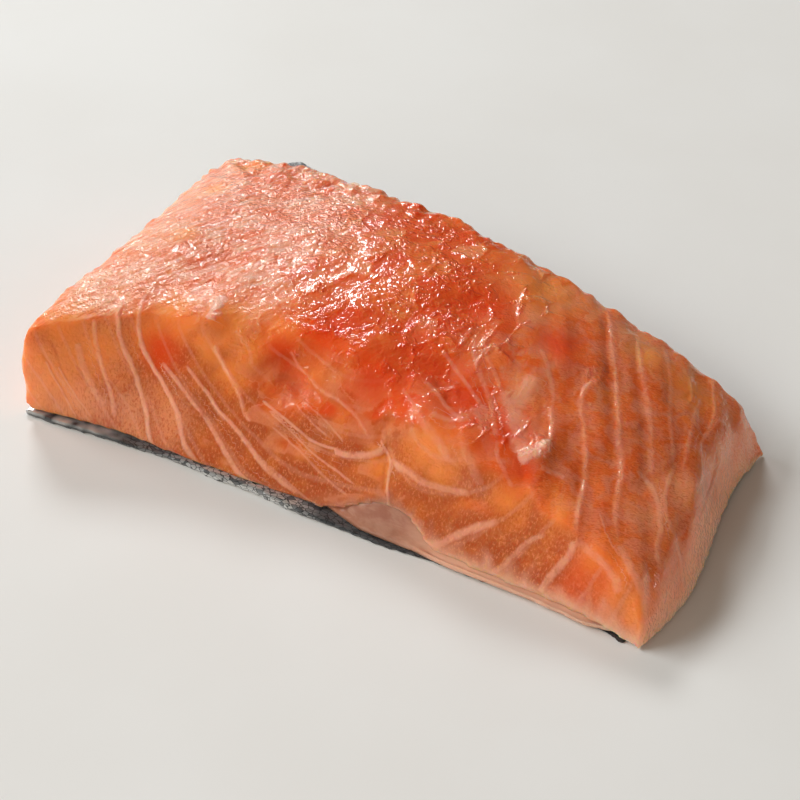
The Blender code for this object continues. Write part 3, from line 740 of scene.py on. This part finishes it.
warp = np.stack([clouds(points, 5.0, seed) for seed in (31.0, 32.0, 33.0)], axis=1)
warped = points + SPOT_WARP * warp
deep, gold_and_glow, pale_and_lit = (spots(marks, warped) for marks in (DEEP_SPOTS, GOLD_AND_GLOW_SPOTS, PALE_AND_LIT_SPOTS))
# The far rim is painted paler: painted rim light from the window behind.
lit_far_rim = smooth_step(y, 15, 22) * (1 - smooth_step(normals[:, 2], 0.8, 0.97))
pale_and_lit = np.maximum(pale_and_lit, FAR_RIM_LIGHT * lit_far_rim * smooth_step(z, 9, 13))
wet = spots(WET_SPOTS, warped) * (0.35 + 0.65 * np.maximum(upward, torn))
over_fat = (z - lowest(x)) * (1 + 0.5 * clouds(points, 2.0, 51.0))
fatty = np.interp(x, FATTY_X, FATTY_SHARE) * (1 - smooth_step(over_fat, 0.2, FATTY_HEIGHT))
belly_top = smooth_step(x, 0, 30) * upward

keep(flesh, "seams", seam_side, seam_share, fold_side)
keep(flesh, "folds", fold_share, slit_side, slit_share)
keep(flesh, "phases", back_phase, belly_phase, cutward)
keep(flesh, "threads", back_share * threads, belly_cut_share * threads, patch_share * patch_number)
keep(flesh, "tones", deep, gold_and_glow, pale_and_lit)
keep(flesh, "wetness", wet, border * patch_share, streak_share)
keep(flesh, "foot", fatty * (1 - far_side), endward * smooth_step(x, 60, 70))
keep(flesh, "flaps", flap_side, flap_share, belly_top)
print("the flesh keeps", len(flesh.data.attributes), "attributes")

# %% [markdown]
# ## Helpers for materials
#
# A material is a small tree of nodes. These helpers add a node to the tree that is being built and
# return its output, so that a tree reads like a formula. A number that is the same all over is set
# on the shader's own socket.


# %% Helpers for materials
def new_material(name):
    """A new material, its tree and the shader in it."""
    material = bpy.data.materials.new(name)
    material.use_nodes = True
    return material, material.node_tree, material.node_tree.nodes["Principled BSDF"]


def fill(node, inputs):
    """Gives each named input of a node its number, or links another node's output to it."""
    for name, value in inputs.items():
        if isinstance(value, bpy.types.NodeSocket):
            tree.links.new(value, node.inputs[name])
        else:
            node.inputs[name].default_value = value


def add(kind, inputs=None, **settings):
    """Adds a node, fills its inputs and returns its outputs."""
    node = tree.nodes.new("ShaderNode" + kind)
    for name, value in settings.items():
        setattr(node, name, value)
    fill(node, inputs or {})
    return node.outputs


def stored(name):
    """The numbers that each point keeps under a name."""
    return add("SeparateXYZ", {0: add("Attribute", attribute_name=name)["Vector"]})


def object_xyz():
    """The place on the object, in metres: x, y and z."""
    return add("SeparateXYZ", {0: add("TexCoord")["Object"]})


def maths(operation, a, b=0.0, c=0.0):
    return add("Math", {0: a, 1: b, 2: c}, operation=operation)[0]


def chained(operation, values):
    result = values[0]
    for value in values[1:]:
        result = maths(operation, result, value)
    return result


def times(*values):
    return chained("MULTIPLY", values)


def total(*values):
    return chained("ADD", values)


def highest(*values):
    return chained("MAXIMUM", values)


def ramp(value, low, high, start=0.0, end=1.0):
    """A smooth change from start at low to end at high."""
    inputs = {"Value": value, "From Min": low, "From Max": high, "To Min": start, "To Max": end}
    return add("MapRange", inputs, interpolation_type="SMOOTHSTEP")[0]


def mixed(share, first, second):
    """The first colour where share is 0 and the second where it is 1."""
    inputs = {0: share, 6: first, 7: second}
    return add("Mix", inputs, data_type="RGBA", clamp_factor=True)[2]


def grain(size, turn=0.0, detail=2.0, distortion=0.0, seed=0.0):
    """Noise in object coordinates. size is the grain's length along each axis, in millimetres."""
    place = add("TexCoord")["Object"]
    if turn:
        place = add("Mapping", {"Vector": place, "Rotation": (0, 0, math.radians(-turn))})[0]
    scale = tuple(1 / (s * MM) for s in size)
    inputs = {"Vector": place, "Scale": scale, "Location": (seed, seed, seed)}
    inputs = {"Vector": add("Mapping", inputs)[0], "Scale": 1.0}
    inputs.update({"Detail": detail, "Distortion": distortion})
    return add("TexNoise", inputs)["Fac"]


def line(side, share, soft=0.5):
    """A drawn line: 1 in its middle, fading out towards its edge, where side is 1 or -1."""
    return times(ramp(maths("ABSOLUTE", side), 1 - soft, 1 + soft, 1.0, 0.0), share)


def bumped(height, strength, distance):
    """A bumpy normal. distance, in millimetres, is how high a height of 1 stands."""
    inputs = {"Height": height, "Strength": strength, "Distance": distance * MM}
    return add("Bump", inputs)[0]


def dress(piece, material):
    """Gives a piece its material and smooth shading."""
    piece.data.materials.append(material)
    active_only(piece)
    bpy.ops.object.shade_smooth()
    print(piece.name, "has", len(piece.data.polygons), "faces")


# %% [markdown]
# ## The flesh's material
#
# Light enters raw fish and leaves it somewhere else, which is why its edges glow. Subsurface
# scattering does that. On top lies a thin film of water, which the coat stands for. A fine bump
# breaks the window's reflection in it into glints, most of all where the surface is wet or torn.
# The colour is a list of layers, each with its share and its strength: under them lies an orange
# that is painted darker on the cuts as shade. The torn patches and the spots lie at the bottom,
# with a painted sheen of whitish streaks among them, then come the fibres, the slits' painted
# shade, the pale ribbons, and last the fat along the foot.

# %% The flesh's material: ribbons and slits
SEAM_HALF_WIDTHS = (0.30, 0.40)

flesh_material, tree, shader = new_material("salmon_flesh")
seams, folds = stored("seams"), stored("folds")
phases, threads_kept = stored("phases"), stored("threads")
tones, wetness, flaps = stored("tones"), stored("wetness"), stored("flaps")
foot_kept = stored("foot")

wobble = maths("SUBTRACT", grain((2.2, 2.2, 2.2), detail=3.0), 0.5)
broken = grain((2.6, 2.6, 2.6), detail=3.0, seed=4.0)
shifted = maths("MULTIPLY_ADD", wobble, 1.3, seams[0])
seam = times(line(shifted, seams[1], 0.6), ramp(broken, 0.25, 0.55, 0.45, 1.0))
fold = line(maths("MULTIPLY_ADD", wobble, 1.2, times(seams[2], 0.9)), folds[0], 0.8)
fold = times(fold, ramp(broken, 0.25, 0.55, 0.25, 0.75))
# The slits are painted darker: painted shade in their grooves.
slit_shade = line(maths("MULTIPLY_ADD", wobble, 1.6, folds[1]), folds[2], 0.95)
flap = line(maths("MULTIPLY_ADD", wobble, 2.4, flaps[0]), flaps[1], 0.4)
seam_lines = seam
for number, pitch, half_width in zip((0, 1), (BACK_PITCH, BELLY_PITCH), SEAM_HALF_WIDTHS):
    phase = maths("MULTIPLY_ADD", wobble, 0.12, phases[number])
    distance = times(maths("PINGPONG", phase, 0.5), pitch / half_width)
    seam_lines = highest(seam_lines, line(distance, threads_kept[number], 0.6))

# %% The flesh's material: colours
ORANGE = (0.80, 0.140, 0.024, 1)
DEEP_RED = (0.76, 0.055, 0.004, 1)
GOLD = (0.94, 0.300, 0.070, 1)
PALE = (0.88, 0.360, 0.180, 1)
VEIL = (0.78, 0.290, 0.180, 1)
SHADED_CUT_ORANGE = (0.46, 0.106, 0.034, 1)
PAINTED_SHEEN = (0.97, 0.70, 0.55, 1)
DARK_FIBRE = (0.56, 0.085, 0.018, 1)
PALE_FIBRE = (0.84, 0.290, 0.120, 1)
RIBBON = (0.92, 0.460, 0.310, 1)
FLAP_PALE = (0.86, 0.440, 0.320, 1)
FOOT_FAT = (0.52, 0.225, 0.140, 1)
FOOT_CREAM = (0.86, 0.46, 0.31, 1)
MEMBRANE = (0.95, 0.400, 0.240, 1)
SLIT_SHADE = (0.50, 0.050, 0.006, 1)

cut = phases[2]
cut_fibres = grain((0.42, 0.42, 1.3), detail=3.0, distortion=0.4, seed=2.0)
top_fibres = grain((5.0, 0.7, 2.0), turn=STREAK_ANGLE, detail=2.0, distortion=0.5, seed=3.0)
belly_fibres = grain((1.8, 0.50, 1.2), turn=22.0, detail=3.0, distortion=2.2, seed=6.0)
fibres = mixed(flaps[2], top_fibres, belly_fibres)
fibres = mixed(cut, fibres, cut_fibres)
patchy = grain((6, 6, 6), detail=3.0, seed=12.0)

patch = threads_kept[2]
patch_pale = times(ramp(patch, 0.05, 0.12), ramp(patch, 0.2, 0.35, 0.4, 0.0))
veil = grain((5, 5, 5), detail=4.0, distortion=1.0, seed=17.0)
veil = times(ramp(veil, 0.42, 0.62), flaps[2])
# Painted sheen: whitish streaks on the top's back end that stand in for the window's reflection.
sheen_share = times(wetness[2], ramp(top_fibres, 0.40, 0.66, 0.15, 0.55))
sheen_share = times(sheen_share, ramp(patchy, 0.35, 0.6, 0.3, 1.0))
fibre_share = times(
    ramp(tones[1], 0.2, 0.9, 1.0, 0.25),
    ramp(tones[0], 0.2, 0.9, 1.0, 0.3),
    ramp(cut, 0, 1, 0.5, 0.55),
    ramp(patch, 0.0, 0.1, 1.0, 0.35),
    ramp(wetness[2], 0.0, 1.0, 1.0, 0.5),
)
foot_colour = mixed(ramp(object_xyz()[0], 16 * MM, 30 * MM), FOOT_FAT, FOOT_CREAM)

# The knife cuts get a darker orange than the top: painted shade, for the sides that take less
# light.
colour = mixed(cut, ORANGE, SHADED_CUT_ORANGE)
for share, strength, layer in (
    (ramp(patchy, 0.42, 0.72), 0.4, GOLD),
    (patch_pale, 1.0, PALE),
    (ramp(patch, 0.55, 0.75), 0.55, DEEP_RED),
    (veil, 0.55, VEIL),
    # pale spots, partly painted sheen and light, with the far rim's painted rim light
    (tones[2], 0.7, PALE),
    # painted sheen
    (sheen_share, 1.0, PAINTED_SHEEN),
    # golden spots, partly painted light
    (tones[1], 0.85, GOLD),
    (tones[0], 0.85, DEEP_RED),
    (ramp(fibres, 0.36, 0.50, 1.0, 0.0), fibre_share, DARK_FIBRE),
    (ramp(fibres, 0.52, 0.66), fibre_share, PALE_FIBRE),
    # painted shade in the slits
    (slit_shade, 0.32, SLIT_SHADE),
    (seam_lines, 0.8, RIBBON),
    (fold, 0.6, RIBBON),
    (flap, 0.85, FLAP_PALE),
    (foot_kept[1], 0.9, MEMBRANE),
    (foot_kept[0], 0.95, foot_colour),
):
    colour = mixed(times(share, strength), colour, layer)

# %% The flesh's material: water and gloss
crinkle = grain((0.95, 0.95, 0.95), detail=1.0, distortion=0.6, seed=21.0)
fine = grain((0.5, 0.5, 0.5), detail=0.0, seed=20.0)
streak = grain((2.2, 0.80, 1.5), turn=STREAK_ANGLE, detail=1.0, distortion=0.6, seed=22.0)
patch_noise = grain((2.4, 2.4, 2.4), detail=1.0, seed=25.0)
patch_noise = maths("MULTIPLY_ADD", wetness[2], 0.12, patch_noise)
sparkle = highest(
    times(wetness[0], ramp(patch_noise, 0.42, 0.58)),
    times(wetness[1], 0.9),
    times(fold, 0.7),
    flap,
    times(foot_kept[1], 0.8),
)
height = total(
    times(crinkle, ramp(sparkle, 0, 1, 0.35, 1.05)),
    times(fine, ramp(sparkle, 0, 1, 0.05, 0.24)),
    times(streak, wetness[2], 0.40),
    times(seam_lines, 0.25),
)
wet_bump = bumped(height, 1.0, 0.5)
fill(shader, {
    "Base Color": colour,
    "Roughness": ramp(crinkle, 0.3, 0.7, 0.34, 0.5),
    "Normal": wet_bump,
    "Coat Normal": wet_bump,
    "Specular IOR Level": 0.10,
    "IOR": 1.38,
    "Subsurface Weight": 1.0,
    "Subsurface Radius": (1.0, 0.30, 0.10),
    "Subsurface Scale": 3.0 * MM,
    "Coat Weight": 1.0,
    "Coat Roughness": 0.035,
    "Coat IOR": 1.5,
})

dress(flesh, flesh_material)
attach(flesh, "root")
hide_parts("flesh")

# %% [markdown]
# ## How thick the skin's edge is
#
# The knife pressed the skin's cut edge unevenly. It is thick at the back end, curls out in the
# middle where its silver scales show, and is squeezed to a thin line under the belly half. Both the
# fat and the skin follow this one rule, so that no gap opens between them. At the belly end the
# flesh hangs down over both, so there they are shortened.

# %% How thick the skin's edge is
RIM_X = (-75, -58, -48, -40, -34, -24, -8, 0, 6, 14, 75)
RIM_THICKNESS = (1.0, 0.9, 0.55, 0.5, 0.8, 1.1, 1.15, 0.8, 0.5, 0.3, 0.22)
RIM_PULL = (0.3, 0.3, 0.4, 0.3, 0.0, -0.1, -0.1, 0.0, 0.1, 0.1, 0.8)
SKIN_TOP = 1.4
END_PULL = 3.6
RIM_REACH = (1.5, 7.0)

skin_rim = rim_line("skin", 1)


def rim_share(points):
    """1 at the near edge, falling to 0 well under the portion."""
    return 1 - smooth_step(points[:, 1] - skin_rim(points[:, 0]), *RIM_REACH)


def squeezed(points):
    """How much lower the skin's top lies at each point than on the CAD model."""
    thickness = np.interp(points[:, 0], RIM_X, RIM_THICKNESS)
    return SKIN_TOP * (1 - thickness) * rim_share(points)


def shortened(points):
    """How much each point is drawn back under the belly end."""
    return END_PULL * smooth_step(points[:, 0], *END_START)


# %% [markdown]
# ## The fat
#
# Between the flesh and the skin lies soft fat, a dull pink that is a little browner close to the
# skin. It is one layer under the whole portion. Its edge shows along the knife cut, so that is
# where its copy stays fine. Towards the back end it is soaked with the flesh's orange, and towards
# the belly end it is cream.

# %% The fat
FAT_VOXEL = 0.5
FAT_GAP = 0.25
LOWEST_FAT = 0.12
FAT_PULL_X = (-75, 0, 9, 20, 30, 60, 70, 75)
FAT_PULL = (2.4, 1.8, -0.6, -0.9, -2.1, -1.7, 1.5, 2.0)

fat = copy_of("fat", "fat_layer")
use_modifier(fat, "REMESH", mode="VOXEL", voxel_size=FAT_VOXEL * MM)
use_modifier(fat, "SMOOTH", factor=0.5, iterations=2)
thin_out(fat, np.abs(directions(fat)[:, 2]) > 0.97, 0.06)
points, normals = places(fat), directions(fat)
swell = 0.15 * clouds(points, 4.0, 1.0) + 0.08 * clouds(points, 1.4, 2.0)
sideways = 1 - smooth_step(np.abs(normals[:, 2]), 0.3, 0.8)
low = 1 - smooth_step(points[:, 2], 1.6, 3.2)
points[:, 2] -= (squeezed(points) + FAT_GAP) * low
points += normals * (swell * sideways)[:, None]
foot_drop = np.interp(points[:, 0], FOOT_X, FOOT_DROP) * rim_share(points)
points[:, 2] -= foot_drop * smooth_step(points[:, 2], 1.7, 4.6)
points[:, 1] += np.interp(points[:, 0], FAT_PULL_X, FAT_PULL) * rim_share(points)
points[:, 0] -= shortened(points)
points[:, 2] = np.maximum(points[:, 2], LOWEST_FAT)
put_places(fat, points)

# %% The fat's material
FAT_PINK = (0.38, 0.150, 0.098, 1)
FAT_BROWN = (0.38, 0.160, 0.095, 1)
FAT_PALE = (0.50, 0.26, 0.18, 1)
FAT_ORANGE = (0.66, 0.170, 0.060, 1)

fat_material, tree, shader = new_material("fat")
along, _, above = object_xyz()
cloudy = grain((3, 3, 2), detail=3.0)
pale_streaks = grain((2.5, 2.5, 0.7), detail=3.0, distortion=0.6, seed=5.0)
colour = mixed(ramp(above, 2 * MM, 5 * MM), FAT_BROWN, FAT_PINK)
colour = mixed(ramp(cloudy, 0.35, 0.7, 0, 0.7), colour, FAT_PALE)
colour = mixed(ramp(pale_streaks, 0.5, 0.7, 0, 0.5), colour, FAT_PALE)
colour = mixed(ramp(along, -6 * MM, 8 * MM, 0.85, 0.0), colour, FAT_ORANGE)
colour = mixed(ramp(along, 16 * MM, 30 * MM, 0.0, 0.85), colour, FOOT_CREAM)
fat_bump = bumped(grain((1.0, 1.0, 0.8), detail=4.0, seed=7.0), 0.4, 0.3)
fill(shader, {
    "Base Color": colour,
    "Normal": fat_bump,
    "Coat Normal": fat_bump,
    "Roughness": 0.4,
    "Subsurface Weight": 0.3,
    "Subsurface Radius": (1.0, 0.45, 0.3),
    "Subsurface Scale": 2.5 * MM,
    "Coat Weight": 0.6,
    "Coat Roughness": 0.15,
})

dress(fat, fat_material)
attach(fat, "root")
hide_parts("fat")

# %% [markdown]
# ## The skin
#
# The skin is dark, and its scales are thin silver plates that overlap like roof tiles. They show
# along the far side, most of all where the skin stands up behind the cut, and at the back end. Each
# scale is a disc about two and a half millimetres across, with a shade of its own. The relief is
# the height of the topmost disc at each point, in rows that are set off by half a scale. At the
# near cut the knife has crushed them, so there the material draws small broken plates: dark under a
# bright rim at the back end, and silver where the edge curls out.

# %% The skin
SKIN_VOXEL = 0.42
FAR_PULL = 3.0

skin = copy_of("skin", "fish_skin")
use_modifier(skin, "REMESH", mode="VOXEL", voxel_size=SKIN_VOXEL * MM)
use_modifier(skin, "SMOOTH", factor=0.5, iterations=2)
points, normals = places(skin), directions(skin)
inner = (np.abs(normals[:, 2]) > 0.97) & (points[:, 1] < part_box("fat")[1].y / MM)
near_rim = points[:, 1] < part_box("skin")[0].y / MM + 5.5
thin_out(skin, inner & ~near_rim, 0.04)
points, normals = places(skin), directions(skin)
print("skin thinned out to", len(points), "points")

# %% The skin's scales
SCALE_PITCH = 2.6
SCALE_ROW = 1.5
SCALE_RADIUS = 1.25
SCALE_RISE = 0.16


def scale_tiles(along, across):
    """The height of the topmost scale at each point, how far from its rim, and its random shade."""
    height = np.full(len(along), -1.0)
    inside, shade = np.zeros(len(along)), np.zeros(len(along))
    for step in (-1, 0, 1):
        row = np.floor(across / SCALE_ROW) + step
        offset = np.where(row % 2 == 0, 0.0, 0.5)
        column = np.round(along / SCALE_PITCH - offset)
        du = along / SCALE_PITCH - offset - column
        dv = (across - (row + 0.5) * SCALE_ROW) / SCALE_PITCH
        distance = np.hypot(du, dv * 1.05) * 2
        tilt = 0.5 - dv
        higher = (distance < SCALE_RADIUS) & (tilt > height)
        height = np.where(higher, tilt, height)
        inside = np.where(higher, SCALE_RADIUS - distance, inside)
        shade = np.where(higher, random_from(row, column), shade)
    return height, inside, shade


x, y, z = points.T
around = y + np.where(y > 0, z, -z)
tile_height, tile_inside, tile_shade = scale_tiles(x + 0.5 * clouds(points, 4.0, 3.0), around)
outer = smooth_step(np.abs(normals[:, 1]) - normals[:, 2], 0.0, 0.6)
rise = SCALE_RISE * (tile_height - 0.3) * outer + 0.10 * clouds(points, 3.0, 6.0)
print("scales rise", round(float(rise.max()), 2), "mm")

# %% The skin's cut edge
SILVER_X = (-75, -70, -58, -50, -36, -28, -6, 0, 75)
SILVER_SHARE = (0.3, 0.05, 0.0, 0.1, 0.4, 1.0, 1.0, 0.1, 0.0)
FAR_SILVER = 0.05

rim = rim_share(points)
lowered = squeezed(points) * smooth_step(z, 0.1, SKIN_TOP)
pulled = np.interp(x, RIM_X, RIM_PULL) + 0.25 * clouds(points * (1, 0, 0), 1.6, 8.0)
points += normals * (rise * smooth_step(z, 0.15, 0.9) * (1 - 0.6 * rim))[:, None]
points[:, 2] -= lowered
points[:, 1] += pulled * smooth_step(rim, 0.7, 1.0)
points[:, 0] -= shortened(points)
points[:, 1] -= FAR_PULL * smooth_step(points[:, 0], 50, 64) * smooth_step(points[:, 1], 20, 27)
points[:, 2] = np.maximum(points[:, 2], 0.0)
put_places(skin, points)
at_cut = rim > 0.3
silver_zone = np.where(at_cut, np.interp(x, SILVER_X, SILVER_SHARE), FAR_SILVER)
far_scales = smooth_step(tile_inside, 0.05, 0.45) * (0.25 + 0.6 * tile_shade)
bright_edge = rim * smooth_step(z, 0.7, 1.15) * (1 - smooth_step(x, -50, -30))
bright_edge *= 0.5 + clouds(points, 2.0, 71.0)
keep(skin, "silver", np.where(at_cut, bright_edge, far_scales), silver_zone)
print("the skin's near edge:", int(at_cut.sum()), "points")

# %% The skin's material
PLATE_SIZE = 0.8
PLATE_STRETCH = (0.55, 1.0, 1.0)
SKIN_DARK = (0.014, 0.017, 0.020, 1)
SCALE_GREY = (0.045, 0.050, 0.055, 1)
SCALE_SILVER = (0.78, 0.79, 0.78, 1)

skin_material, tree, shader = new_material("fish_skin")
silver_kept = stored("silver")
place = {0: add("TexCoord")["Object"], 1: PLATE_STRETCH}
place = add("VectorMath", place, operation="MULTIPLY")["Vector"]
plates = {"Vector": place, "Scale": 1 / (PLATE_SIZE * MM), "Randomness": 0.9}
plate_edge = add("TexVoronoi", plates, feature="DISTANCE_TO_EDGE")["Distance"]
plate_shade = add("SeparateColor", {0: add("TexVoronoi", plates)["Color"]})[0]
silver_plates = times(
    ramp(plate_edge, 0.01, 0.08),
    ramp(plate_shade, 0.05, 0.6, 0.1, 0.9),
    silver_kept[1],
)
silver_share = highest(silver_plates, times(silver_kept[0], 0.8))
colour = mixed(ramp(plate_edge, 0.02, 0.10), SKIN_DARK, SCALE_GREY)
colour = mixed(silver_share, colour, SCALE_SILVER)
skin_bump = bumped(grain((0.5, 0.5, 0.5), detail=3.0, seed=9.0), 0.35, 0.2)
fill(shader, {
    "Base Color": colour,
    "Normal": skin_bump,
    "Metallic": times(silver_share, 0.7),
    "Roughness": 0.3,
    "Coat Weight": 0.35,
    "Coat Roughness": 0.1,
})

dress(skin, skin_material)
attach(skin, "root")
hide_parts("skin")

# %% The table's material
PLASTER_PALE = (0.82, 0.81, 0.79, 1)

table_material, tree, shader = new_material("table")
plaster = grain((60, 60, 60), detail=4.0)
tint = mixed(ramp(plaster, 0.3, 0.7), (*TABLE_COLOUR, 1), PLASTER_PALE)
fill(shader, {"Base Color": tint, "Roughness": 0.6, "Specular IOR Level": 0.3})
table.data.materials.append(table_material)
print("materials:", sorted(material.name for material in bpy.data.materials))
